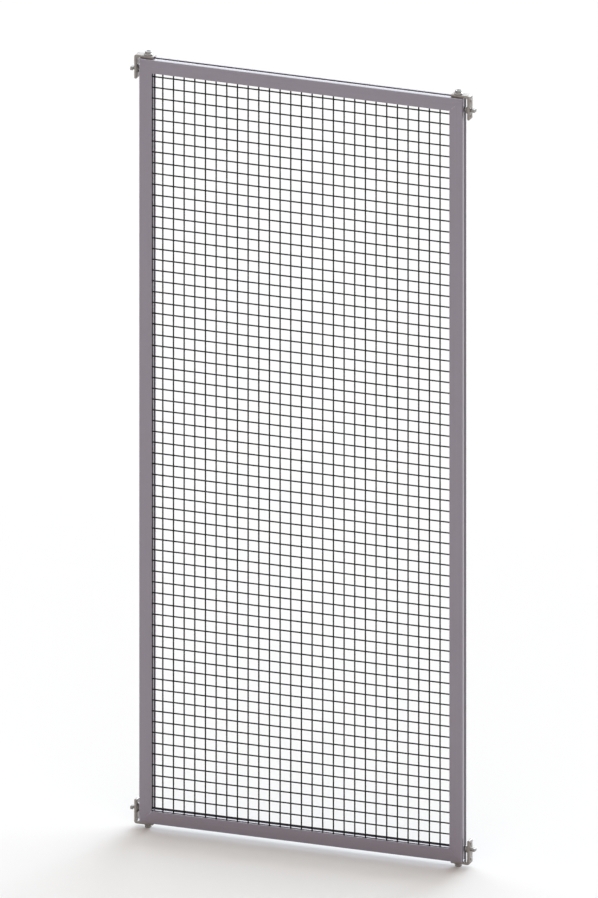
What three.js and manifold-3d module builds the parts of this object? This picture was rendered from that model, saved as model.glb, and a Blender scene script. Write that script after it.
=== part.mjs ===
// A framed wire mesh guard panel: four mitred slot profiles hold a welded mesh, and an angle
// bracket at each corner carries a T-head bolt for the slot of a post.
// Millimetres, +X to the right, +Y away from the front, +Z up. The origin is halfway between
// the two lower post bolts, on the line that joins their axes.

import * as THREE from 'three';
import { mergeVertices } from 'three/addons/utils/BufferGeometryUtils.js';
import Module from 'manifold-3d';

// ---- Driving dimensions ----

// The wire mesh
const meshPitch = 25;
const columnPitches = 28;
const rowPitches = 68;
const wireDiameter = 3;
const wireSides = 6;
const weldSink = 0.2;
const unweldedGap = 0.05;
const weldedColumnStep = 14;
const wireEndSide = 5;
const wireEndTop = 14;

// The frame profile, as seen in a cut across a member
const profileFace = 30;
const profileDepth = 30;
const profileRadius = 3.5;
const frontWall = 2;
const innerEdgeRadius = 0.6;
const meshEngagement = 6;
const grooveFloorRoom = 3;
const grooveRoom = 0.3;
const webThickness = 2.2;
const slotCentre = 18.5;
const slotMouth = 8.2;
const slotLip = 2.2;
const slotDepth = 9;
const chamberWidth = 16;
const chamberFloor = 9;
const chamberStraight = 5;
const coreBore = 6.8;
const mitreGap = 0.2;

// The key inside each mitred corner
const keyArm = 56;
const keyRoom = 0.3;
const keyTipChamfer = 2;

// The angle bracket
const bracketThickness = 5.7;
const bracketWidth = 20;
const bracketBend = 5;
const bracketInnerBend = 2.5;
const bracketEdge = 0.7;
const bracketTip = 2;
const bracketSeat = 0.3;
const standOff = 8.4;
const sideLegDrop = 50;
const topLegReach = 30.5;
const boltHole = 8.8;
const lugWidth = 7.6;
const lugHeight = 1.4;
const lugLength = 6;
const sideLugRise = 22;
const sideLugFall = 13;
const topLugSpread = 11;

// Bolts and nuts
const postBoltDrop = 28.5;
const fixingBoltInset = 15.5;
const shankDiameter = 8;
const headLength = 15.4;
const headWidth = 7.8;
const fixingHeadHeight = 4.6;
const postHeadHeight = 6;
const headChamfer = 0.8;
const postNeck = 4.4;
const fixingNeckRoom = 0.3;
const shankChamfer = 1;
const markSlotWidth = 1.2;
const markSlotDepth = 1.2;
const nutAcrossFlats = 13;
const fixingNutHeight = 8;
const postNutHeight = 6.8;
const nutFlange = 19.4;
const nutFlangeEdge = 1.6;
const nutFlangeTop = 3.3;
const nutChamfer = 0.9;
const nutThreadRoom = 0.3;
const nutSeat = 0.3;
const fixingShankRecess = 0.6;
const shankPastPostNut = 0.6;

// How finely round things are drawn
const roundSegments = 20;
const filletSegments = 3;

// ---- Sizes that follow from them ----

const meshWidth = meshPitch * columnPitches;
const meshHeight = meshPitch * rowPitches;
const openingWidth = meshWidth + 2 * (wireEndSide - meshEngagement);
const openingHeight = meshHeight + 2 * (wireEndTop - meshEngagement);
const panelWidth = openingWidth + 2 * profileFace;
const panelHeight = openingHeight + 2 * profileFace;
const frameFoot = -postBoltDrop;
const frameMiddle = frameFoot + panelHeight / 2;

const rowDepth = frontWall + grooveRoom + wireDiameter / 2;
const columnDepth = rowDepth + wireDiameter + unweldedGap;
const weldedColumnDepth = rowDepth + wireDiameter - weldSink;
const grooveBack = columnDepth + wireDiameter / 2 + grooveRoom;
const grooveDepth = meshEngagement + grooveFloorRoom;
const hollowEnd = profileFace - grooveDepth - webThickness;
const hollowBack = slotCentre - chamberWidth / 2 - webThickness;

// ---- Solids: joining and cutting ----

const manifold = await Module();
manifold.setup();

function toSolid(geometry) {
  const bare = geometry.clone();
  bare.deleteAttribute('normal');
  bare.deleteAttribute('uv');
  const merged = mergeVertices(bare, 1e-4);
  return new manifold.Manifold(
    new manifold.Mesh({
      numProp: 3,
      vertProperties: merged.attributes.position.array,
      triVerts: new Uint32Array(merged.index.array),
    }),
  );
}

function toGeometry(solid) {
  const mesh = solid.getMesh();
  const geometry = new THREE.BufferGeometry();
  geometry.setAttribute('position', new THREE.BufferAttribute(mesh.vertProperties, 3));
  geometry.setIndex(new THREE.BufferAttribute(mesh.triVerts, 1));
  return geometry;
}

// A cylinder along an axis ('x', 'y' or 'z'), centred on the origin.
function cylinder(diameter, length, axis, segments = roundSegments) {
  const geometry = new THREE.CylinderGeometry(diameter / 2, diameter / 2, length, segments);
  if (axis === 'x') geometry.rotateZ(Math.PI / 2);
  if (axis === 'z') geometry.rotateX(Math.PI / 2);
  return geometry;
}

// ---- The frame ----

// Half of a slot's outline, from its mouth to its floor, as [distance in, half width] pairs.
function slotSteps() {
  return [
    [0, slotMouth / 2],
    [slotLip, slotMouth / 2],
    [slotLip, chamberWidth / 2],
    [slotLip + chamberStraight, chamberWidth / 2],
    [slotDepth, chamberFloor / 2],
  ];
}

// The cut across a member. Along the shape's x it runs from the outer side (0) to the inner
// side (profileFace), and along its y from the front (0) to the back (profileDepth).
function profileShape() {
  const far = profileFace;
  const deep = profileDepth;
  const round = profileRadius;
  const edge = innerEdgeRadius;
  const shape = new THREE.Shape();
  shape.moveTo(round, 0);
  shape.lineTo(far - edge, 0);
  shape.absarc(far - edge, edge, edge, -Math.PI / 2, 0, false);
  shape.lineTo(far, frontWall);
  shape.lineTo(far - grooveDepth, frontWall);
  shape.lineTo(far - grooveDepth, grooveBack);
  shape.lineTo(far, grooveBack);
  for (const [inward, half] of slotSteps()) shape.lineTo(far - inward, slotCentre - half);
  for (const [inward, half] of slotSteps().reverse()) {
    shape.lineTo(far - inward, slotCentre + half);
  }
  shape.lineTo(far, deep - round);
  shape.absarc(far - round, deep - round, round, 0, Math.PI / 2, false);
  shape.lineTo(round, deep);
  shape.absarc(round, deep - round, round, Math.PI / 2, Math.PI, false);
  for (const [inward, half] of slotSteps()) shape.lineTo(inward, slotCentre + half);
  for (const [inward, half] of slotSteps().reverse()) shape.lineTo(inward, slotCentre - half);
  shape.lineTo(0, round);
  shape.absarc(round, round, round, Math.PI, Math.PI * 1.5, false);

  const hollow = new THREE.Path();
  hollow.moveTo(frontWall, frontWall);
  hollow.lineTo(frontWall, hollowBack);
  hollow.lineTo(hollowEnd, hollowBack);
  hollow.lineTo(hollowEnd, frontWall);
  hollow.closePath();

  const bore = new THREE.Path();
  bore.absarc(profileFace / 2, slotCentre, coreBore / 2, 0, Math.PI * 2, true);

  shape.holes.push(hollow, bore);
  return shape;
}

// A member of the given outer length, lying along Z with its outer side at x = 0 and its front
// at y = 0. Both ends are mitred: each end is drawn back by as much as a point lies inward.
function mitredMember(length) {
  const geometry = new THREE.ExtrudeGeometry(profileShape(), {
    depth: length,
    steps: 1,
    bevelEnabled: false,
    curveSegments: filletSegments,
  });
  const place = geometry.attributes.position;
  for (let i = 0; i < place.count; i += 1) {
    const drawnBack = place.getX(i) + mitreGap / 2;
    const atFarEnd = place.getZ(i) > length / 2;
    place.setZ(i, atFarEnd ? length - drawnBack : drawnBack);
  }
  geometry.translate(0, -slotCentre, -length / 2);
  return geometry;
}

// The L key: a flat angle whose arms lie in the front hollows of the two members that meet.
// Drawn with the frame's corner at the origin and both arms running inward (-X and -Z).
function cornerKey() {
  const outer = frontWall + keyRoom;
  const inner = hollowEnd - keyRoom;
  const front = frontWall + keyRoom;
  const thickness = hollowBack - keyRoom - front;
  const shape = new THREE.Shape();
  shape.moveTo(-outer, -outer);
  shape.lineTo(-keyArm + keyTipChamfer, -outer);
  shape.lineTo(-keyArm, -outer - keyTipChamfer);
  shape.lineTo(-keyArm, -inner + keyTipChamfer);
  shape.lineTo(-keyArm + keyTipChamfer, -inner);
  shape.lineTo(-inner, -inner);
  shape.lineTo(-inner, -keyArm + keyTipChamfer);
  shape.lineTo(-inner + keyTipChamfer, -keyArm);
  shape.lineTo(-outer - keyTipChamfer, -keyArm);
  shape.lineTo(-outer, -keyArm + keyTipChamfer);
  shape.closePath();
  const geometry = new THREE.ExtrudeGeometry(shape, { depth: thickness, bevelEnabled: false });
  geometry.rotateX(Math.PI / 2);
  geometry.translate(0, front + thickness - slotCentre, 0);
  return geometry;
}

// ---- The mesh ----

// One straight wire with its ridges facing front and back, at a place across the sheet.
function wire(length, upright, across, depth) {
  const geometry = cylinder(wireDiameter, length, upright ? 'z' : 'x', wireSides);
  const ridge = new THREE.Vector3(0, wireDiameter / 2, 0);
  const first = new THREE.Vector3().fromBufferAttribute(geometry.attributes.position, 0);
  const spine = upright ? new THREE.Vector3(0, 0, 1) : new THREE.Vector3(1, 0, 0);
  const turned = first.projectOnPlane(spine).angleTo(ridge);
  const toRidge = Math.round(turned / (Math.PI / 2)) % 2 === 1 ? Math.PI / 2 : 0;
  if (upright) geometry.rotateZ(toRidge);
  else geometry.rotateX(toRidge);
  geometry.translate(upright ? across : 0, depth, upright ? 0 : across);
  return toSolid(geometry);
}

// All wires as one welded sheet, centred on the opening. The level wires are in front. Each
// crossing is welded in the edge wires and in the middle upright, and elsewhere the wires
// all but touch.
function meshSheet() {
  const wires = [];
  for (let row = 0; row <= rowPitches; row += 1) {
    const edge = row === 0 || row === rowPitches;
    const depth = edge ? rowDepth + weldSink : rowDepth;
    wires.push(wire(meshWidth + 2 * wireEndSide, false, row * meshPitch - meshHeight / 2, depth));
  }
  for (let column = 0; column <= columnPitches; column += 1) {
    const welded = column % weldedColumnStep === 0 || column === columnPitches;
    const depth = welded ? weldedColumnDepth : columnDepth;
    const across = column * meshPitch - meshWidth / 2;
    wires.push(wire(meshHeight + 2 * wireEndTop, true, across, depth));
  }
  const sheet = toGeometry(manifold.Manifold.union(wires));
  sheet.translate(0, -slotCentre, 0);
  return sheet;
}

// ---- The corner fittings, drawn for the upper right corner ----
// Their own frame has the panel's outer corner at the origin, on the slots' centre plane.

// The angle bracket: one leg lies on the frame, the other stands off its side.
function bracket() {
  const inside = standOff;
  const outside = standOff + bracketThickness;
  const under = bracketSeat;
  const top = bracketSeat + bracketThickness;
  const half = bracketEdge;
  const bend = bracketBend;
  const fold = bracketInnerBend;
  const tip = bracketTip;
  const shape = new THREE.Shape();
  shape.moveTo(-topLegReach + tip, under);
  shape.lineTo(inside - fold, under);
  shape.absarc(inside - fold, under - fold, fold, Math.PI / 2, 0, true);
  shape.lineTo(inside, -sideLegDrop + tip);
  shape.absarc(inside + tip, -sideLegDrop + tip, tip, Math.PI, Math.PI * 1.5, false);
  shape.lineTo(outside - tip, -sideLegDrop);
  shape.absarc(outside - tip, -sideLegDrop + tip, tip, -Math.PI / 2, 0, false);
  shape.lineTo(outside, top - bend);
  shape.absarc(outside - bend, top - bend, bend, 0, Math.PI / 2, false);
  shape.lineTo(-topLegReach + tip, top);
  shape.absarc(-topLegReach + tip, top - tip, tip, Math.PI / 2, Math.PI, false);
  shape.lineTo(-topLegReach, under + tip);
  shape.absarc(-topLegReach + tip, under + tip, tip, Math.PI, Math.PI * 1.5, false);
  const plate = new THREE.ExtrudeGeometry(shape, {
    depth: bracketWidth - 2 * half,
    steps: 1,
    bevelEnabled: true,
    bevelThickness: half,
    bevelSize: half,
    bevelOffset: -half,
    bevelSegments: 1,
    curveSegments: filletSegments,
  });
  plate.rotateX(Math.PI / 2);
  plate.translate(0, bracketWidth / 2 - half, 0);

  let solid = toSolid(plate);
  const postAxis = -postBoltDrop;
  for (const centre of [postAxis + sideLugRise, postAxis - sideLugFall]) {
    const lug = new THREE.BoxGeometry(2 * lugHeight, lugWidth, lugLength);
    lug.translate(outside, 0, centre);
    solid = solid.add(toSolid(lug));
  }
  for (const way of [-1, 1]) {
    const lug = new THREE.BoxGeometry(lugLength, lugWidth, 2 * lugHeight);
    lug.translate(-fixingBoltInset + way * topLugSpread, 0, under);
    solid = solid.add(toSolid(lug));
  }
  const sideHole = cylinder(boltHole, 4 * bracketThickness, 'x');
  sideHole.translate(outside, 0, postAxis);
  const topHole = cylinder(boltHole, 4 * bracketThickness, 'z');
  topHole.translate(-fixingBoltInset, 0, top);
  return toGeometry(solid.subtract(toSolid(sideHole)).subtract(toSolid(topHole)));
}

// A T-head bolt along Z with the head's underside at z = 0 and the head below it. The head is
// long along Y, with two opposite corners round, so that it turns a quarter turn in a slot
// and then stops. The end of the shank has a slot that shows which way the head lies.
function headBolt(shankLength, headHeight) {
  const long = headLength / 2;
  const wide = headWidth / 2;
  const outline = new THREE.Shape();
  outline.moveTo(wide, -long);
  outline.lineTo(wide, long - wide);
  outline.absarc(0, long - wide, wide, 0, Math.PI / 2, false);
  outline.lineTo(-wide, long);
  outline.lineTo(-wide, -long + wide);
  outline.absarc(0, -long + wide, wide, Math.PI, Math.PI * 1.5, false);
  outline.closePath();
  const head = new THREE.ExtrudeGeometry(outline, {
    depth: headHeight - 2 * headChamfer,
    steps: 1,
    bevelEnabled: true,
    bevelThickness: headChamfer,
    bevelSize: headChamfer,
    bevelOffset: -headChamfer,
    bevelSegments: 1,
    curveSegments: filletSegments,
  });
  head.translate(0, 0, -headHeight + headChamfer);

  const radius = shankDiameter / 2;
  const profile = [
    new THREE.Vector2(0, -headHeight / 2),
    new THREE.Vector2(radius, -headHeight / 2),
    new THREE.Vector2(radius, shankLength - shankChamfer),
    new THREE.Vector2(radius - shankChamfer, shankLength),
    new THREE.Vector2(0, shankLength),
  ];
  const shank = new THREE.LatheGeometry(profile, roundSegments);
  shank.rotateX(Math.PI / 2);

  const mark = new THREE.BoxGeometry(markSlotWidth, 2 * shankDiameter, 2 * markSlotDepth);
  mark.translate(0, 0, shankLength);
  return toGeometry(toSolid(head).add(toSolid(shank)).subtract(toSolid(mark)));
}

// A flange nut along Z that seats on z = 0: a chamfered hexagon over a coned flange.
function flangeNut(nutHeight) {
  const corner = nutAcrossFlats / Math.sqrt(3);
  const flange = nutFlange / 2;
  const hexagon = new THREE.CylinderGeometry(corner, corner, nutHeight, 6);
  hexagon.rotateX(Math.PI / 2);
  hexagon.translate(0, 0, nutHeight / 2);
  const chamfer = new THREE.LatheGeometry(
    [
      new THREE.Vector2(0, -1),
      new THREE.Vector2(2 * corner, -1),
      new THREE.Vector2(2 * corner, nutHeight - nutChamfer - corner),
      new THREE.Vector2(corner - nutChamfer, nutHeight),
      new THREE.Vector2(0, nutHeight),
    ],
    roundSegments,
  );
  chamfer.rotateX(Math.PI / 2);
  const skirt = new THREE.LatheGeometry(
    [
      new THREE.Vector2(0, 0),
      new THREE.Vector2(flange, 0),
      new THREE.Vector2(flange, nutFlangeEdge),
      new THREE.Vector2(nutAcrossFlats / 2, nutFlangeTop),
      new THREE.Vector2(0, nutFlangeTop),
    ],
    roundSegments,
  );
  skirt.rotateX(Math.PI / 2);
  const bore = cylinder(shankDiameter + 2 * nutThreadRoom, 4 * nutHeight, 'z');
  const body = toSolid(hexagon).intersect(toSolid(chamfer)).add(toSolid(skirt));
  return toGeometry(body.subtract(toSolid(bore)));
}

// ---- Materials ----

const anodised = new THREE.MeshStandardMaterial({
  color: 0x89838a,
  roughness: 0.42,
  metalness: 0.75,
});
const blackWire = new THREE.MeshStandardMaterial({
  color: 0x242425,
  roughness: 0.55,
  metalness: 0.1,
});
const castZinc = new THREE.MeshStandardMaterial({
  color: 0x8a837b,
  roughness: 0.5,
  metalness: 0.6,
});
const platedSteel = new THREE.MeshStandardMaterial({
  color: 0x9b9a96,
  roughness: 0.35,
  metalness: 0.9,
});
const keyMetal = new THREE.MeshStandardMaterial({
  color: 0xa7a8aa,
  roughness: 0.5,
  metalness: 0.8,
});

// ---- Assembly ----

const panel = new THREE.Group();

function place(parent, name, geometry, material) {
  const mesh = new THREE.Mesh(geometry, material);
  mesh.name = name;
  parent.add(mesh);
  return mesh;
}

function addFrame() {
  const halfWidth = panelWidth / 2;
  const stile = mitredMember(panelHeight);
  const rail = mitredMember(panelWidth);
  // A turn about Y keeps the front in front: the outer side faces left, right, up or down.
  const left = place(panel, 'stile_left', stile, anodised);
  left.position.set(-halfWidth, 0, frameMiddle);
  const right = place(panel, 'stile_right', stile, anodised);
  right.position.set(halfWidth, 0, frameMiddle);
  right.rotation.y = Math.PI;
  const top = place(panel, 'rail_top', rail, anodised);
  top.position.set(0, 0, frameFoot + panelHeight);
  top.rotation.y = Math.PI / 2;
  const bottom = place(panel, 'rail_bottom', rail, anodised);
  bottom.position.set(0, 0, frameFoot);
  bottom.rotation.y = -Math.PI / 2;
}

function addMesh() {
  const sheet = place(panel, 'wire_mesh', meshSheet(), blackWire);
  sheet.position.z = frameMiddle;
}

// Each corner holds its key, its bracket and the two bolts with their nuts.
function addCorner(corner, side, upper) {
  const group = new THREE.Group();
  group.position.set((side * panelWidth) / 2, 0, frameMiddle + (upper * panelHeight) / 2);
  if (side < 0 && upper > 0) group.rotation.z = Math.PI;
  if (side < 0 && upper < 0) group.rotation.y = Math.PI;
  if (side > 0 && upper < 0) group.rotation.x = Math.PI;
  panel.add(group);

  place(group, 'bracket_' + corner, bracket(), castZinc);

  const bracketTop = bracketSeat + bracketThickness;
  const fixingHead = -slotLip - fixingNeckRoom;
  const fixingEnd = bracketTop + nutSeat + fixingNutHeight - fixingShankRecess;
  const fixingBolt = headBolt(fixingEnd - fixingHead, fixingHeadHeight);
  const fixing = place(group, 'fixing_bolt_' + corner, fixingBolt, platedSteel);
  fixing.position.set(-fixingBoltInset, 0, fixingHead);
  const fixingNutBody = flangeNut(fixingNutHeight);
  const fixingNut = place(group, 'fixing_nut_' + corner, fixingNutBody, platedSteel);
  fixingNut.position.set(-fixingBoltInset, 0, bracketTop + nutSeat);

  const postHead = standOff + bracketThickness + postNeck;
  const postNutFace = standOff - nutSeat;
  const postEnd = postNutFace - postNutHeight - shankPastPostNut;
  const postBolt = headBolt(postHead - postEnd, postHeadHeight);
  const post = place(group, 'post_bolt_' + corner, postBolt, platedSteel);
  post.position.set(postHead, 0, -postBoltDrop);
  post.rotation.y = -Math.PI / 2;
  const postNut = place(group, 'post_nut_' + corner, flangeNut(postNutHeight), platedSteel);
  postNut.position.set(postNutFace, 0, -postBoltDrop);
  postNut.rotation.y = -Math.PI / 2;
}

// The keys lie in front of the slots' plane, so they turn about Y alone.
function addKey(corner, side, upper) {
  const key = place(panel, 'corner_key_' + corner, cornerKey(), keyMetal);
  key.position.set((side * panelWidth) / 2, 0, frameMiddle + (upper * panelHeight) / 2);
  if (side < 0 && upper > 0) key.rotation.y = -Math.PI / 2;
  if (side < 0 && upper < 0) key.rotation.y = Math.PI;
  if (side > 0 && upper < 0) key.rotation.y = Math.PI / 2;
}

addFrame();
addMesh();
for (const [level, upper] of [['top', 1], ['bottom', -1]]) {
  for (const [hand, side] of [['left', -1], ['right', 1]]) {
    addKey(level + '_' + hand, side, upper);
    addCorner(level + '_' + hand, side, upper);
  }
}

export default panel;
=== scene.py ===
"""A framed wire mesh guard panel, built in the order in which it is put together: the mitred
frame and its corner keys, the welded mesh, the corner brackets, then the bolts and nuts."""

import bpy
import numpy as np
from mathutils import Matrix, Vector
from mathutils.geometry import tessellate_polygon


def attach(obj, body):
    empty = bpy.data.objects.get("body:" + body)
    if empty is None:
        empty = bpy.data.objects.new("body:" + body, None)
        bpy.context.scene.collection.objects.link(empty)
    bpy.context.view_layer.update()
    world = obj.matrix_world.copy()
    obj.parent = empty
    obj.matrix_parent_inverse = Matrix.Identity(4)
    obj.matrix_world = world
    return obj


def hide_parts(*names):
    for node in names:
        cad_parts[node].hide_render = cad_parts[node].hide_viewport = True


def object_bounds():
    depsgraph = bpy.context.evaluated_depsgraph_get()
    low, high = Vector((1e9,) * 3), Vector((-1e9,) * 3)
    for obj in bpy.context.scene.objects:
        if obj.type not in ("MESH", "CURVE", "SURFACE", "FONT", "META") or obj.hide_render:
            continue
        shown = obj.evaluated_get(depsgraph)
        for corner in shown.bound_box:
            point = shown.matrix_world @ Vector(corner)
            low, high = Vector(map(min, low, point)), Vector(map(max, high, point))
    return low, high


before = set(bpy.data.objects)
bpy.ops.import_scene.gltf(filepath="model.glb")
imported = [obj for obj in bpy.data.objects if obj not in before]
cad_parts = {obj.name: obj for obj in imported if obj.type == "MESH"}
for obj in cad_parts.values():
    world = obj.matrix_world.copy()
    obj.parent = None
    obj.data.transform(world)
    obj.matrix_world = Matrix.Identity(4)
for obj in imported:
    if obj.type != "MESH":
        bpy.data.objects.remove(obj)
cad_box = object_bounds()


# ---- Camera ----
# A studio view from the front and a little to the right and above, without perspective: lines
# that are parallel on the panel stay parallel in the picture.

VIEW_AZIMUTH = np.radians(20.72)
VIEW_ELEVATION = np.radians(19.46)
VIEW_HEIGHT = 1.9692
VIEW_DISTANCE = 6.0
PANEL_MIDDLE = np.array([0.0, -0.0185, 0.8595])
AIM_RIGHT = -0.00307
AIM_UP = 0.02673

view_right = np.array([np.cos(VIEW_AZIMUTH), np.sin(VIEW_AZIMUTH), 0.0])
view_back = np.array([
    np.sin(VIEW_AZIMUTH) * np.cos(VIEW_ELEVATION),
    -np.cos(VIEW_AZIMUTH) * np.cos(VIEW_ELEVATION),
    np.sin(VIEW_ELEVATION),
])
view_up = np.cross(view_back, view_right)
view_place = PANEL_MIDDLE + AIM_RIGHT * view_right + AIM_UP * view_up + VIEW_DISTANCE * view_back

camera_data = bpy.data.cameras.new("camera")
camera_data.type = "ORTHO"
camera_data.ortho_scale = VIEW_HEIGHT
camera_data.clip_end = 50.0
camera = bpy.data.objects.new("camera", camera_data)
bpy.context.scene.collection.objects.link(camera)
camera.matrix_world = Matrix.Translation(Vector(view_place)) @ Matrix(
    np.column_stack([view_right, view_up, view_back]).tolist()
).to_4x4()
bpy.context.scene.camera = camera
bpy.context.scene.view_settings.view_transform = "Standard"


# ---- Floor and light ----
# A plain white floor under the lowest nuts and a soft warm room all round. Behind the object a
# low and a high cool light lay the shadow towards the front, and a weak warm one lights the
# front. All three are far away, and bearings count from the back to the right.

FLOOR_SIZE = 40.0
FLOOR_COLOUR = (0.86, 0.86, 0.86, 1.0)
ROOM_COLOUR = (1.0, 0.854, 0.753, 1.0)
ROOM_STRENGTH = 0.42
LOW_BACK_LIGHT = {"colour": (0.80, 0.90, 1.0), "strength": 1.38 * np.pi, "bearing": 3,
                  "elevation": 11, "spread": 34}
HIGH_BACK_LIGHT = {"colour": (0.88, 0.96, 1.0), "strength": 0.68 * np.pi, "bearing": -4,
                   "elevation": 46, "spread": 82}
FRONT_LIGHT = {"colour": (1.0, 0.95, 0.91), "strength": 0.40 * np.pi, "bearing": 160,
               "elevation": 14, "spread": 64}


class Paint:
    """A socket in a node tree. Arithmetic on it adds Math nodes, and node() adds any other."""

    def __init__(self, tree, socket=None):
        self.tree = tree
        self.socket = socket

    def node(self, kind, settings=None, inputs=None, output=0):
        """A node of that type: its settings are set first, then its sockets' values or links."""
        made = self.tree.nodes.new(kind)
        for key, value in (settings or {}).items():
            setattr(made, key, value)
        for key, value in (inputs or {}).items():
            if isinstance(value, Paint):
                self.tree.links.new(value.socket, made.inputs[key])
            else:
                made.inputs[key].default_value = value
        return Paint(self.tree, made.outputs[output] if made.outputs else None)

    def maths(self, operation, first, second):
        return self.node("ShaderNodeMath", {"operation": operation}, {0: first, 1: second})

    def __add__(self, other):
        return self.maths("ADD", self, other)

    __radd__ = __add__

    def __sub__(self, other):
        return self.maths("SUBTRACT", self, other)

    def __rsub__(self, other):
        return self.maths("SUBTRACT", other, self)

    def __mul__(self, other):
        return self.maths("MULTIPLY", self, other)

    __rmul__ = __mul__


def blank_paint(name):
    """A new material with an empty node tree, and the Paint that adds nodes to it."""
    material = bpy.data.materials.new(name)
    material.use_nodes = True
    material.node_tree.nodes.clear()
    return material, Paint(material.node_tree)


def seen_straight(paint):
    """1 for what the camera, a reflection or a glass sees, 0 for light that bounces softly."""
    path = paint.node("ShaderNodeLightPath")
    outputs = path.socket.node.outputs
    seen = [Paint(paint.tree, outputs[name]) for name in (
        "Is Camera Ray", "Is Glossy Ray", "Is Transmission Ray")]
    return seen[0] + seen[1] + seen[2]


floor_material, paint = blank_paint("floor_white")
matt = paint.node("ShaderNodeBsdfDiffuse", inputs={"Color": FLOOR_COLOUR})
paint.node("ShaderNodeOutputMaterial", inputs={"Surface": matt})

floor_mesh = bpy.data.meshes.new("floor")
floor_edge = FLOOR_SIZE / 2
floor_height = float(cad_box[0][2])
floor_mesh.from_pydata([(x * floor_edge, y * floor_edge, floor_height)
                        for x, y in ((-1, -1), (1, -1), (1, 1), (-1, 1))], [], [(0, 1, 2, 3)])
floor = bpy.data.objects.new("floor", floor_mesh)
floor.data.materials.append(floor_material)
bpy.context.scene.collection.objects.link(floor)

world = bpy.data.worlds.new("room")
world.use_nodes = True
world.node_tree.nodes.clear()
room = Paint(world.node_tree)
soft = room.node("ShaderNodeBackground", inputs={"Color": ROOM_COLOUR, "Strength": ROOM_STRENGTH})
white = room.node("ShaderNodeBackground",
                  inputs={"Color": (1.0, 1.0, 1.0, 1.0), "Strength": 1.0})
chosen = room.node("ShaderNodeMath", {"operation": "MINIMUM"}, {0: seen_straight(room), 1: 1.0})
mixed = room.node("ShaderNodeMixShader", inputs={0: chosen, 1: soft, 2: white})
room.node("ShaderNodeOutputWorld", inputs={"Surface": mixed})
bpy.context.scene.world = world

for name, light in (("low_back_light", LOW_BACK_LIGHT), ("high_back_light", HIGH_BACK_LIGHT),
                    ("front_light", FRONT_LIGHT)):
    lamp_data = bpy.data.lights.new(name, "SUN")
    lamp_data.color = light["colour"]
    lamp_data.energy = light["strength"]
    lamp_data.angle = np.radians(light["spread"])
    bearing, elevation = np.radians(light["bearing"]), np.radians(light["elevation"])
    towards = Vector((np.sin(bearing) * np.cos(elevation), np.cos(bearing) * np.cos(elevation),
                      np.sin(elevation)))
    lamp = bpy.data.objects.new(name, lamp_data)
    lamp.rotation_euler = (-towards).to_track_quat("-Z", "Y").to_euler()
    bpy.context.scene.collection.objects.link(lamp)


# ---- Frame ----
# Four lengths of grey anodised aluminium slot profile, extruded, sawn to a mitre and pressed
# on to corner keys. A T-slot runs along the outer and inner side, and a groove near the
# front of the inner side holds the mesh.

PROFILE_FACE = 0.030
PROFILE_DEPTH = 0.030
PROFILE_ROUND = 0.0035
FRONT_WALL = 0.002
LIP_ROUND = 0.0006
EDGE_ROUND = 0.0003
GROOVE_DEPTH = 0.009
GROOVE_BACK = 0.00865
SLOT_CENTRE = 0.0185
SLOT_MOUTH = 0.0082
SLOT_LIP = 0.0022
SLOT_DEPTH = 0.009
CHAMBER_WIDTH = 0.016
CHAMBER_FLOOR = 0.009
CHAMBER_STRAIGHT = 0.005
WEB = 0.0022
CORE_RADIUS = 0.0034
MITRE_GAP = 0.0002
PANEL_WIDTH = 0.758
PANEL_HEIGHT = 1.776
PANEL_CENTRE = 0.8595
ROUND_STEPS = 6
CORE_STEPS = 24


def rounded_loop(corners, steps=ROUND_STEPS):
    """A closed outline through corners (x, y, radius), anticlockwise, and its outward normals.

    Each corner becomes an arc. With u and v the unit vectors from the corner to its two
    neighbours and a the angle between them, the arc's centre lies on the bisector at
    radius / sin(a / 2), and the arc swings from one touching point to the other.
    """
    table = np.array(corners, float)
    corner, radius = table[:, :2], table[:, 2:]
    before = np.roll(corner, 1, 0) - corner
    after = np.roll(corner, -1, 0) - corner
    before /= np.linalg.norm(before, axis=1, keepdims=True)
    after /= np.linalg.norm(after, axis=1, keepdims=True)
    half_angle = np.arccos(np.clip((before * after).sum(1), -1, 1))[:, None] / 2
    bisector = before + after
    bisector /= np.linalg.norm(bisector, axis=1, keepdims=True)
    centre = corner + bisector * radius / np.sin(half_angle)
    start = corner + before * radius / np.tan(half_angle) - centre
    end = corner + after * radius / np.tan(half_angle) - centre
    swing = (np.pi - 2 * half_angle)[:, None]
    share_of_arc = np.linspace(0, 1, steps + 1)[None, :, None]
    arms = (np.sin((1 - share_of_arc) * swing) * start[:, None]
            + np.sin(share_of_arc * swing) * end[:, None]) / np.sin(swing)
    turn_left = before[:, 1] * after[:, 0] - before[:, 0] * after[:, 1]
    outward = arms / radius[:, None] * np.sign(turn_left)[:, None, None]
    return (centre[:, None] + arms).reshape(-1, 2), outward.reshape(-1, 2)


def ring_sides(rings, closed=False):
    """The skin between rings (count, around, 3): each point joins the same one of the next."""
    count, around = rings.shape[:2]
    index = np.arange(count * around).reshape(count, around)
    low = index if closed else index[:-1]
    high = np.roll(index, -1, 0) if closed else index[1:]
    quads = np.stack([low, np.roll(low, -1, 1), np.roll(high, -1, 1), high], -1)
    return rings.reshape(-1, 3), quads.reshape(-1, 4).tolist()


def capped_rings(rings):
    """ring_sides with the first ring closed from below and the last from above."""
    points, faces = ring_sides(rings)
    around = rings.shape[1]
    last = len(points) - around
    return points, faces + [list(range(around))[::-1], list(range(last, last + around))]


def join_shells(shells):
    """One list of points and one of faces from several."""
    starts = np.cumsum([0] + [len(points) for points, _ in shells])
    faces = [[corner + start for corner in face]
             for (_, part), start in zip(shells, starts) for face in part]
    return np.concatenate([points for points, _ in shells]), faces


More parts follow.
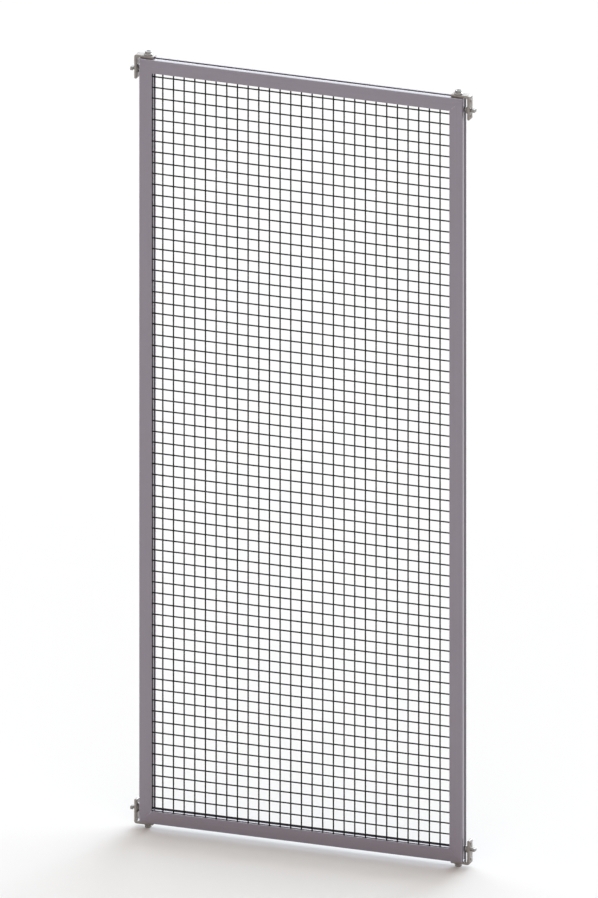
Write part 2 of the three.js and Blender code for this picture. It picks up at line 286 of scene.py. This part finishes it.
def add_piece(name, shell, material, body, nodes, crease=32.0):
    """A mesh object with smooth faces, sharp only where they meet at more than the crease."""
    mesh = bpy.data.meshes.new(name)
    mesh.from_pydata(shell[0].tolist(), [], shell[1])
    mesh.shade_smooth()
    mesh.set_sharp_from_angle(angle=np.radians(crease))
    mesh.materials.append(material)
    piece = bpy.data.objects.new(name, mesh)
    bpy.context.scene.collection.objects.link(piece)
    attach(piece, body)
    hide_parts(*nodes)
    return piece


def slot_corners(side, way):
    """One T-slot's corners, for the side (0 or PROFILE_FACE), going front to back or back."""
    inward = 1 if side == 0 else -1
    steps = [(0, SLOT_MOUTH / 2), (SLOT_LIP, SLOT_MOUTH / 2), (SLOT_LIP, CHAMBER_WIDTH / 2),
             (SLOT_LIP + CHAMBER_STRAIGHT, CHAMBER_WIDTH / 2), (SLOT_DEPTH, CHAMBER_FLOOR / 2)]
    first = [(side + inward * deep, SLOT_CENTRE - way * half, EDGE_ROUND)
             for deep, half in steps]
    second = [(side + inward * deep, SLOT_CENTRE + way * half, EDGE_ROUND)
              for deep, half in steps[::-1]]
    return first + second


def profile_loops():
    """The cut across a member: its outline and its two hollows, which run the other way."""
    far, deep = PROFILE_FACE, PROFILE_DEPTH
    groove = far - GROOVE_DEPTH
    outline = [(0, 0, PROFILE_ROUND), (far, 0, LIP_ROUND), (far, FRONT_WALL, EDGE_ROUND),
               (groove, FRONT_WALL, EDGE_ROUND), (groove, GROOVE_BACK, EDGE_ROUND),
               (far, GROOVE_BACK, EDGE_ROUND)]
    outline += slot_corners(far, 1)
    outline += [(far, deep, PROFILE_ROUND), (0, deep, PROFILE_ROUND)]
    outline += slot_corners(0, -1)
    hollow_end = groove - WEB
    hollow_back = SLOT_CENTRE - CHAMBER_WIDTH / 2 - WEB
    hollow = [(FRONT_WALL, FRONT_WALL, EDGE_ROUND), (FRONT_WALL, hollow_back, EDGE_ROUND),
              (hollow_end, hollow_back, EDGE_ROUND), (hollow_end, FRONT_WALL, EDGE_ROUND)]
    turn = np.linspace(0, -2 * np.pi, CORE_STEPS, endpoint=False)
    bore = np.column_stack([far / 2 + CORE_RADIUS * np.cos(turn),
                            SLOT_CENTRE + CORE_RADIUS * np.sin(turn)])
    return [rounded_loop(outline)[0], rounded_loop(hollow)[0], bore]


def mitred_member(length):
    """A member along z with its outer side at x = 0. Both ends are drawn back by x, so that
    they lie at 45 degrees. The ends are filled between the outline and the hollows."""
    loops = profile_loops()
    shells = []
    for loop in loops:
        drawn = loop[:, 0] + MITRE_GAP / 2
        foot = np.column_stack([loop, drawn - length / 2])
        head = np.column_stack([loop, length / 2 - drawn])
        shells.append(ring_sides(np.stack([foot, head])))
    triangles = np.array(tessellate_polygon(
        [[Vector((x, y, 0)) for x, y in loop] for loop in loops]))
    flat = np.concatenate(loops)
    one, two, three = flat[triangles[:, 0]], flat[triangles[:, 1]], flat[triangles[:, 2]]
    area = ((two - one)[:, 0] * (three - one)[:, 1] - (two - one)[:, 1] * (three - one)[:, 0])
    triangles[area < 0] = triangles[area < 0][:, ::-1]
    drawn = flat[:, 0] + MITRE_GAP / 2
    shells.append((np.column_stack([flat, length / 2 - drawn]), triangles.tolist()))
    shells.append((np.column_stack([flat, drawn - length / 2]), triangles[:, ::-1].tolist()))
    return join_shells(shells)


def welded(shell, distance=1e-6):
    """The shell with points that lie together made one, which closes its seams."""
    keys = np.round(shell[0] / distance).astype(np.int64)
    _, first, where = np.unique(keys, axis=0, return_index=True, return_inverse=True)
    where = where.reshape(-1)
    faces = [[int(where[corner]) for corner in face] for face in shell[1]]
    return shell[0][first], [face for face in faces if len(set(face)) == len(face)]


def anodised(name, along):
    """Satin anodised aluminium. Faint die lines run along the extrusion's length."""
    material, paint = blank_paint(name)
    place = paint.node("ShaderNodeTexCoord", output=3)
    squeeze = [900.0, 900.0, 900.0]
    squeeze[along] = 2.5
    drawn = paint.node("ShaderNodeMapping", inputs={"Vector": place, "Scale": squeeze})
    lines = paint.node("ShaderNodeTexNoise", inputs={"Vector": drawn, "Scale": 1.0,
                                                     "Detail": 3.0, "Roughness": 0.55})
    cloud = paint.node("ShaderNodeTexNoise", inputs={"Vector": place, "Scale": 14.0,
                                                     "Detail": 2.0})
    tone = 0.75 * lines + 0.25 * cloud
    colour = paint.node("ShaderNodeMix", {"data_type": "RGBA"}, {
        0: tone, 6: (0.191, 0.170, 0.206, 1.0), 7: (0.234, 0.208, 0.248, 1.0)}, output=2)
    relief = paint.node("ShaderNodeBump", inputs={"Height": lines, "Strength": 0.10,
                                                  "Distance": 0.0002})
    metal = paint.node("ShaderNodeBsdfPrincipled", inputs={
        "Base Color": colour, "Metallic": 0.3, "Roughness": 0.26 + 0.12 * tone,
        "Coat Weight": 0.7, "Coat Roughness": 0.2, "Normal": relief})
    paint.node("ShaderNodeOutputMaterial", inputs={"Surface": metal})
    return material


stile = welded(mitred_member(PANEL_HEIGHT))
rail = welded(mitred_member(PANEL_WIDTH))
upright_metal = anodised("anodised_upright", 2)
level_metal = anodised("anodised_level", 0)
as_drawn = np.eye(3)
upside_down = np.diag([-1.0, 1.0, -1.0])
lying_down = np.array([[0.0, 0, 1], [0, 1, 0], [-1, 0, 0]])
lying_up = lying_down.T
for name, shell, turn, place, metal in (
        ("stile_left", stile, as_drawn, (-PANEL_WIDTH / 2, 0, PANEL_CENTRE), upright_metal),
        ("stile_right", stile, upside_down, (PANEL_WIDTH / 2, 0, PANEL_CENTRE), upright_metal),
        ("rail_top", rail, lying_down, (0, 0, PANEL_CENTRE + PANEL_HEIGHT / 2), level_metal),
        ("rail_bottom", rail, lying_up, (0, 0, PANEL_CENTRE - PANEL_HEIGHT / 2), level_metal)):
    points = (shell[0] - [0, SLOT_CENTRE, 0]) @ turn.T + place
    add_piece(name + "_profile", (points, shell[1]), metal, "panel", [name])


# ---- Corner keys ----
# Flat L keys of plain cast aluminium, pressed into the closed hollow of both members that
# meet at a corner. They can be seen only with the frame apart.

key_metal, paint = blank_paint("key_cast")
place = paint.node("ShaderNodeTexCoord", output=3)
grain = paint.node("ShaderNodeTexNoise", inputs={"Vector": place, "Scale": 900.0, "Detail": 3.0})
colour = paint.node("ShaderNodeMix", {"data_type": "RGBA"}, {
    0: grain, 6: (0.36, 0.36, 0.37, 1.0), 7: (0.46, 0.46, 0.47, 1.0)}, output=2)
relief = paint.node("ShaderNodeBump", inputs={"Height": grain, "Strength": 0.2,
                                              "Distance": 0.0002})
metal = paint.node("ShaderNodeBsdfPrincipled", inputs={
    "Base Color": colour, "Metallic": 0.8, "Roughness": 0.45 + 0.15 * grain, "Normal": relief})
paint.node("ShaderNodeOutputMaterial", inputs={"Surface": metal})
CORNERS = [(level + "_" + hand, side, upper)
           for level, upper in (("top", 1), ("bottom", -1))
           for hand, side in (("left", -1), ("right", 1))]
for corner, _, _ in CORNERS:
    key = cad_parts["corner_key_" + corner]
    key.data.materials.clear()
    key.data.materials.append(key_metal)


# ---- Wire mesh ----
# Straight 3 mm steel wires on a 25 mm pitch, resistance welded where they cross and then
# powder coated black. The level wires lie in front, and all ends stand in the groove.

WIRE_RADIUS = 0.0015
COAT_THICK = 0.00009
MESH_PITCH = 0.025
COLUMNS = 29
ROWS = 69
ROW_DEPTH = 0.0038
WELD_SINK = 0.0003
SIDE_END = 0.005
TOP_END = 0.014
WIRE_SIDES = 12
SHEARED_LENGTH = 0.0003
SHEARED_SHARE = 0.86
WELD_RADIUS = 0.0019
WELD_THICK = 0.0009
WELD_SIDES = 8
WELD_LIFTS = (-65, -25, 25, 65)


def copies(shell, places):
    """The same shell once for each place."""
    points = (places[:, None, :] + shell[0][None]).reshape(-1, 3)
    faces = [[corner + len(shell[0]) * copy for corner in face]
             for copy in range(len(places)) for face in shell[1]]
    return points, faces


def straight_wire(length, along):
    """A wire with its coat, centred on the origin: a circle carried along z or, turned, along
    x. The cut ends are a little narrower, as a shear leaves them."""
    turn = np.linspace(0, 2 * np.pi, WIRE_SIDES, endpoint=False)
    circle = np.column_stack([np.cos(turn), np.sin(turn)])
    end, full = length / 2, length / 2 - SHEARED_LENGTH
    stations = [(-end, SHEARED_SHARE), (-full, 1.0), (full, 1.0), (end, SHEARED_SHARE)]
    radius = WIRE_RADIUS + COAT_THICK
    rings = np.stack([np.column_stack([circle * radius * wide, np.full(WIRE_SIDES, z)])
                      for z, wide in stations])
    points, faces = capped_rings(rings)
    return (points if along == 2 else points[:, [2, 0, 1]]), faces


def weld_bead():
    """A flattened ball between two crossing wires: at each lift (in degrees) a circle whose
    radius goes with the lift's cosine and whose depth goes with its sine."""
    turn = np.linspace(0, 2 * np.pi, WELD_SIDES, endpoint=False)
    rings = np.stack([
        np.column_stack([WELD_RADIUS * np.cos(lift) * np.cos(turn),
                         np.full(WELD_SIDES, WELD_THICK * np.sin(lift)),
                         -WELD_RADIUS * np.cos(lift) * np.sin(turn)])
        for lift in np.radians(WELD_LIFTS)])
    return capped_rings(rings)


coat_black, paint = blank_paint("powder_black")
place = paint.node("ShaderNodeTexCoord", output=3)
peel = paint.node("ShaderNodeTexNoise", inputs={"Vector": place, "Scale": 1500.0,
                                                "Detail": 2.0})
colour = paint.node("ShaderNodeMix", {"data_type": "RGBA"}, {
    0: peel, 6: (0.009, 0.009, 0.010, 1.0), 7: (0.018, 0.018, 0.019, 1.0)}, output=2)
relief = paint.node("ShaderNodeBump", inputs={"Height": peel, "Strength": 0.25,
                                              "Distance": 0.0001})
coat = paint.node("ShaderNodeBsdfPrincipled", inputs={
    "Base Color": colour, "Metallic": 0.0, "Roughness": 0.5 + 0.2 * peel,
    "Specular IOR Level": 0.12, "Normal": relief})
paint.node("ShaderNodeOutputMaterial", inputs={"Surface": coat})

mesh_width = MESH_PITCH * (COLUMNS - 1)
mesh_height = MESH_PITCH * (ROWS - 1)
row_y = ROW_DEPTH - SLOT_CENTRE
column_y = row_y + 2 * WIRE_RADIUS - WELD_SINK
across = MESH_PITCH * np.arange(COLUMNS) - mesh_width / 2
heights = PANEL_CENTRE + MESH_PITCH * np.arange(ROWS) - mesh_height / 2
level_places = np.column_stack([np.zeros(ROWS), np.full(ROWS, row_y), heights])
upright_places = np.column_stack([across, np.full(COLUMNS, column_y),
                                  np.full(COLUMNS, PANEL_CENTRE)])
crossing_x, crossing_z = [grid.ravel() for grid in np.meshgrid(across, heights)]
weld_places = np.column_stack([crossing_x, np.full(crossing_x.size, (row_y + column_y) / 2),
                               crossing_z])
sheet = join_shells([
    copies(straight_wire(mesh_width + 2 * SIDE_END, 0), level_places),
    copies(straight_wire(mesh_height + 2 * TOP_END, 2), upright_places),
    copies(weld_bead(), weld_places),
])
add_piece("welded_wire_sheet", sheet, coat_black, "panel", ["wire_mesh"], crease=60.0)


# ---- Corner brackets ----
# Die cast zinc angles, blasted to a warm grey. One leg lies on the frame's end and the other
# stands off its side. Short lugs on both legs keep the bracket square in the slots.

BRACKET_THICK = 0.0057
BRACKET_WIDTH = 0.020
BRACKET_BEND = 0.005
BRACKET_FOLD = 0.0025
BRACKET_TIP = 0.002
BRACKET_EDGE = 0.0009
BRACKET_SEAT = 0.0003
STAND_OFF = 0.0084
SIDE_LEG_DROP = 0.050
TOP_LEG_REACH = 0.0305
BOLT_HOLE = 0.0088
POST_BOLT_DROP = 0.0285
FIXING_INSET = 0.0155
LUG_WIDTH = 0.0076
LUG_HEIGHT = 0.0014
LUG_LENGTH = 0.006
LUG_SINK = 0.001
LUG_ROUND = 0.0006
SIDE_LUGS = (-0.0065, -0.0415)
TOP_LUGS = (-0.0045, -0.0265)
HOLE_SIDES = 40


def padded_plate(corners, low, high, edge, steps=4):
    """A plate with the outline of the corners, from low to high, its rims rounded.

    Along the rim's quarter circle at angle a, the outline shrinks by edge * (1 - cos a) and
    the height falls short of the face by edge * (1 - sin a).
    """
    outline, outward = rounded_loop(corners)
    quarter = np.radians(np.linspace(90, 0, steps + 1))
    shrink = edge * (1 - np.cos(quarter))
    level = edge * (1 - np.sin(quarter))
    shrinks = np.concatenate([shrink, shrink[::-1]])
    levels = np.concatenate([low + level, high - level[::-1]])
    rings = np.stack([np.column_stack([outline - outward * inset, np.full(len(outline), z)])
                      for inset, z in zip(shrinks, levels)])
    return capped_rings(rings)


def cut_away(shell, cutters):
    """The shell less the cutters, which are shells too."""
    made = []
    for number, (points, faces) in enumerate([shell] + cutters):
        mesh = bpy.data.meshes.new("cut_%d" % number)
        mesh.from_pydata(points.tolist(), [], faces)
        thing = bpy.data.objects.new("cut_%d" % number, mesh)
        bpy.context.scene.collection.objects.link(thing)
        made.append(thing)
    for cutter in made[1:]:
        cut = made[0].modifiers.new("cut", "BOOLEAN")
        cut.operation = "DIFFERENCE"
        cut.solver = "EXACT"
        cut.object = cutter
    ready = made[0].evaluated_get(bpy.context.evaluated_depsgraph_get()).to_mesh()
    points = np.zeros(len(ready.vertices) * 3)
    ready.vertices.foreach_get("co", points)
    faces = [list(face.vertices) for face in ready.polygons]
    made[0].to_mesh_clear()
    for thing in made:
        mesh = thing.data
        bpy.data.objects.remove(thing)
        bpy.data.meshes.remove(mesh)
    return points.reshape(-1, 3), faces


def round_bar(radius, low, high, sides=HOLE_SIDES):
    """A plain cylinder along z."""
    turn = np.linspace(0, 2 * np.pi, sides, endpoint=False)
    circle = np.column_stack([radius * np.cos(turn), radius * np.sin(turn)])
    return capped_rings(np.stack([np.column_stack([circle, np.full(sides, z)])
                                  for z in (low, high)]))


def lug_block(length, width, low, high):
    """A rounded block for a slot, long along x."""
    corners = [(x * length / 2, y * width / 2, LUG_ROUND)
               for x, y in ((-1, -1), (1, -1), (1, 1), (-1, 1))]
    return padded_plate(corners, low, high, LUG_ROUND / 2, steps=2)


def to_x(points):
    """Turned so that z becomes x, x becomes -z and y stays."""
    return points[:, [2, 1, 0]] * [1, 1, -1]


def to_minus_x(points):
    """Turned so that z becomes -x, x becomes z and y stays."""
    return points[:, [2, 1, 0]] * [-1, 1, 1]


def bracket_shell():
    """The bracket for the upper right corner, with the panel's outer corner at the origin."""
    inside, outside = STAND_OFF, STAND_OFF + BRACKET_THICK
    under, top = BRACKET_SEAT, BRACKET_SEAT + BRACKET_THICK
    reach, drop = -TOP_LEG_REACH, -SIDE_LEG_DROP
    angle = [(reach, under, BRACKET_TIP), (inside, under, BRACKET_FOLD),
             (inside, drop, BRACKET_TIP), (outside, drop, BRACKET_TIP),
             (outside, top, BRACKET_BEND), (reach, top, BRACKET_TIP)]
    points, faces = padded_plate(angle, -BRACKET_WIDTH / 2, BRACKET_WIDTH / 2, BRACKET_EDGE)
    plate = (points[:, [0, 2, 1]] * [1, -1, 1], faces)
    side_hole = round_bar(BOLT_HOLE / 2, inside - BRACKET_THICK, outside + BRACKET_THICK)
    top_hole = round_bar(BOLT_HOLE / 2, under - BRACKET_THICK, top + BRACKET_THICK)
    body = cut_away(plate, [
        (to_x(side_hole[0]) - [0, 0, POST_BOLT_DROP], side_hole[1]),
        (top_hole[0] - [FIXING_INSET, 0, 0], top_hole[1]),
    ])
    parts = [body]
    points, faces = lug_block(LUG_LENGTH, LUG_WIDTH, -LUG_SINK, LUG_HEIGHT)
    for height in SIDE_LUGS:
        parts.append((to_x(points) + [outside, 0, height], faces))
    for inset in TOP_LUGS:
        parts.append((points * [1, -1, -1] + [inset, 0, under], faces))
    return join_shells(parts)


def at_corner(points, side, upper):
    """Carries a fitting from the upper right corner to another by half turns: about z to the
    upper left, about x to the lower right, about y to the lower left."""
    turn = np.array([side, side * upper, upper])
    return points * turn + [side * PANEL_WIDTH / 2, 0, PANEL_CENTRE + upper * PANEL_HEIGHT / 2]


cast_zinc, paint = blank_paint("cast_zinc")
place = paint.node("ShaderNodeTexCoord", output=3)
grain = paint.node("ShaderNodeTexNoise", inputs={"Vector": place, "Scale": 1400.0,
                                                 "Detail": 3.0, "Roughness": 0.6})
cloud = paint.node("ShaderNodeTexNoise", inputs={"Vector": place, "Scale": 120.0,
                                                 "Detail": 2.0})
tone = 0.6 * grain + 0.4 * cloud
colour = paint.node("ShaderNodeMix", {"data_type": "RGBA"}, {
    0: tone, 6: (0.180, 0.155, 0.138, 1.0), 7: (0.270, 0.245, 0.226, 1.0)}, output=2)
relief = paint.node("ShaderNodeBump", inputs={"Height": grain, "Strength": 0.35,
                                              "Distance": 0.0003})
metal = paint.node("ShaderNodeBsdfPrincipled", inputs={
    "Base Color": colour, "Metallic": 0.3, "Roughness": 0.30 + 0.16 * tone,
    "Coat Weight": 0.5, "Coat Roughness": 0.25, "Normal": relief})
paint.node("ShaderNodeOutputMaterial", inputs={"Surface": metal})

points, faces = bracket_shell()
for corner, side, upper in CORNERS:
    add_piece("cast_bracket_" + corner, (at_corner(points, side, upper), faces), cast_zinc,
              "panel", ["bracket_" + corner])


# ---- T-head bolts ----
# Zinc plated steel M8 bolts. The head is long one way, with two opposite corners round, so
# that it drops into a slot and locks after a quarter turn. A sawn slot in the shank's end
# shows how the head lies.

SHANK_RADIUS = 0.004
THREAD_PITCH = 0.00125
THREAD_DEPTH = 0.00055
THREAD_SIDES = 28
THREAD_STEPS = 6
THREAD_STEEPEN = 1.25
PLAIN_NECK = 0.0032
SHANK_CHAMFER = 0.001
HEAD_LONG = 0.0154
HEAD_WIDE = 0.0078
HEAD_CORNER = 0.001
HEAD_TURNING_SHARE = 0.98
HEAD_ROUND = 0.0008
FIXING_HEAD_HIGH = 0.0046
POST_HEAD_HIGH = 0.006
POST_NECK = 0.0044
NECK_ROOM = 0.0003
MARK_WIDE = 0.0012
MARK_DEEP = 0.0012
MARK_EDGE = 1e-5
NUT_SEAT = 0.0003
FIXING_NUT_HIGH = 0.008
POST_NUT_HIGH = 0.0068
END_RECESS = 0.0006
END_PROUD = 0.0006


def threaded_shank(length, low):
    """Circles up z whose radius falls by the thread's depth times a triangle wave of the
    height in pitches less the turn, which is a helix. The wave is steepened and clipped, which
    leaves the root flat, and it fades out at the neck."""
    count = int(np.ceil(length / THREAD_PITCH * THREAD_STEPS)) + 1
    height = np.concatenate([[low], np.linspace(0, length - SHANK_CHAMFER, count)])
    turn = np.linspace(0, 2 * np.pi, THREAD_SIDES, endpoint=False)
    phase = (height[:, None] / THREAD_PITCH - turn[None] / (2 * np.pi)) % 1.0
    groove = np.clip(THREAD_STEEPEN * (1 - np.abs(2 * phase - 1)), 0, 1)
    fade = np.clip((height - PLAIN_NECK) / THREAD_PITCH, 0, 1)
    radius = SHANK_RADIUS - THREAD_DEPTH * groove * fade[:, None]
    rings = np.stack([radius * np.cos(turn), radius * np.sin(turn),
                      np.broadcast_to(height[:, None], radius.shape)], -1)
    end = rings[-1].copy()
    end[:, :2] *= 1 - SHANK_CHAMFER / SHANK_RADIUS
    end[:, 2] = length
    return capped_rings(np.concatenate([rings, end[None]]))


def t_bolt(length, head_high):
    """A bolt along z, the head's underside at z = 0 and the head below it, long along y."""
    wide, long = HEAD_WIDE / 2, HEAD_LONG / 2
    turning_corner = wide * HEAD_TURNING_SHARE
    outline = [(wide, -long, HEAD_CORNER), (wide, long, turning_corner),
               (-wide, long, HEAD_CORNER), (-wide, -long, turning_corner)]
    head = padded_plate(outline, -head_high, 0, HEAD_ROUND)
    shank = threaded_shank(length, -head_high / 2)
    reach = 2 * SHANK_RADIUS
    corners = [(x * MARK_WIDE / 2, y * reach, MARK_EDGE)
               for x, y in ((-1, -1), (1, -1), (1, 1), (-1, 1))]
    mark = padded_plate(corners, length - MARK_DEEP, length + MARK_DEEP, MARK_EDGE / 2, steps=1)
    return join_shells([head, cut_away(shank, [mark])])


plated_steel, paint = blank_paint("plated_steel")
place = paint.node("ShaderNodeTexCoord", output=3)
grain = paint.node("ShaderNodeTexNoise", inputs={"Vector": place, "Scale": 1100.0,
                                                 "Detail": 3.0})
cloud = paint.node("ShaderNodeTexNoise", inputs={"Vector": place, "Scale": 160.0,
                                                 "Detail": 2.0})
tone = 0.5 * grain + 0.5 * cloud
colour = paint.node("ShaderNodeMix", {"data_type": "RGBA"}, {
    0: tone, 6: (0.17, 0.163, 0.156, 1.0), 7: (0.28, 0.268, 0.256, 1.0)}, output=2)
relief = paint.node("ShaderNodeBump", inputs={"Height": grain, "Strength": 0.15,
                                              "Distance": 0.0002})
metal = paint.node("ShaderNodeBsdfPrincipled", inputs={
    "Base Color": colour, "Metallic": 0.6, "Roughness": 0.24 + 0.16 * tone,
    "Coat Weight": 0.5, "Coat Roughness": 0.2, "Normal": relief})
paint.node("ShaderNodeOutputMaterial", inputs={"Surface": metal})

bracket_top = BRACKET_SEAT + BRACKET_THICK
fixing_head = -SLOT_LIP - NECK_ROOM
fixing_end = bracket_top + NUT_SEAT + FIXING_NUT_HIGH - END_RECESS
points, faces = t_bolt(fixing_end - fixing_head, FIXING_HEAD_HIGH)
fixing_points = points + [-FIXING_INSET, 0, fixing_head]
for corner, side, upper in CORNERS:
    add_piece("slot_bolt_" + corner, (at_corner(fixing_points, side, upper), faces),
              plated_steel, "panel", ["fixing_bolt_" + corner])

post_head = STAND_OFF + BRACKET_THICK + POST_NECK
post_nut_face = STAND_OFF - NUT_SEAT
post_end = post_nut_face - POST_NUT_HIGH - END_PROUD
points, faces = t_bolt(post_head - post_end, POST_HEAD_HIGH)
post_points = to_minus_x(points) + [post_head, 0, -POST_BOLT_DROP]
for corner, side, upper in CORNERS:
    add_piece("turn_bolt_" + corner, (at_corner(post_points, side, upper), faces),
              plated_steel, "turnbolt_" + corner, ["post_bolt_" + corner])


# ---- Flange nuts ----
# Cold formed M8 flange nuts, zinc plated like the bolts. The nut on the frame's end clamps
# the bracket, and the nut in the gap beside the frame is pulled tight on the post.

NUT_FLATS = 0.013
FLANGE_RADIUS = 0.0097
FLANGE_EDGE = 0.0016
FLANGE_TOP = 0.0033
RIM_ROUND = 0.0004
RIM_BREAK = 0.0003
NUT_BORE = 0.0043
NUT_DISH = 0.0052
DISH_DEPTH = 0.0008
NUT_SIDES = 72
CONE_STEPS = 6
HEXAGON_STEPS = 14
CHAMFER_SLOPE = 1.7
TOP_RADIUS = 0.0062


def flange_nut(height):
    """A nut that seats on z = 0. Its radius is the greater of the flange's cone and of the
    hexagon, half the flats over the cosine of the turn from the nearest flat, where a cone
    from the top cuts the hexagon's corners off. The bore comes back down inside."""
    turn = np.linspace(0, 2 * np.pi, NUT_SIDES, endpoint=False)
    from_flat = (turn + np.pi / 6) % (np.pi / 3) - np.pi / 6
    hexagon = NUT_FLATS / 2 / np.cos(from_flat)
    flange = np.array([
        (0, FLANGE_RADIUS - RIM_ROUND), (RIM_ROUND / 4, FLANGE_RADIUS - RIM_ROUND / 2),
        (RIM_ROUND, FLANGE_RADIUS), (FLANGE_EDGE - RIM_BREAK, FLANGE_RADIUS),
        (FLANGE_EDGE, FLANGE_RADIUS - RIM_ROUND / 2),
        (FLANGE_TOP, NUT_FLATS / 2), (FLANGE_TOP + RIM_ROUND / 4, 0)])
    level = np.concatenate([flange[:5, 0],
                            np.linspace(FLANGE_EDGE + RIM_ROUND / 2, FLANGE_TOP, CONE_STEPS),
                            np.linspace(FLANGE_TOP + RIM_BREAK, height, HEXAGON_STEPS)])
    skirt = np.interp(level, flange[:, 0], flange[:, 1])
    chamfer = TOP_RADIUS + CHAMFER_SLOPE * (height - level)
    outer = np.maximum(skirt[:, None], np.minimum(hexagon[None], chamfer[:, None]))
    inner_radius = np.array([NUT_DISH, NUT_BORE, NUT_BORE, NUT_DISH])
    inner_level = np.array([height, height - DISH_DEPTH, DISH_DEPTH, 0])
    radius = np.concatenate([outer, np.repeat(inner_radius[:, None], NUT_SIDES, 1)])
    level = np.concatenate([level, inner_level])
    rings = np.stack([radius * np.cos(turn), radius * np.sin(turn),
                      np.broadcast_to(level[:, None], radius.shape)], -1)
    return ring_sides(rings, closed=True)


points, faces = flange_nut(FIXING_NUT_HIGH)
fixing_points = points + [-FIXING_INSET, 0, bracket_top + NUT_SEAT]
for corner, side, upper in CORNERS:
    add_piece("clamp_nut_" + corner, (at_corner(fixing_points, side, upper), faces),
              plated_steel, "panel", ["fixing_nut_" + corner])

points, faces = flange_nut(POST_NUT_HIGH)
post_points = to_minus_x(points) + [post_nut_face, 0, -POST_BOLT_DROP]
for corner, side, upper in CORNERS:
    add_piece("turn_nut_" + corner, (at_corner(post_points, side, upper), faces),
              plated_steel, "turnbolt_" + corner, ["post_nut_" + corner])
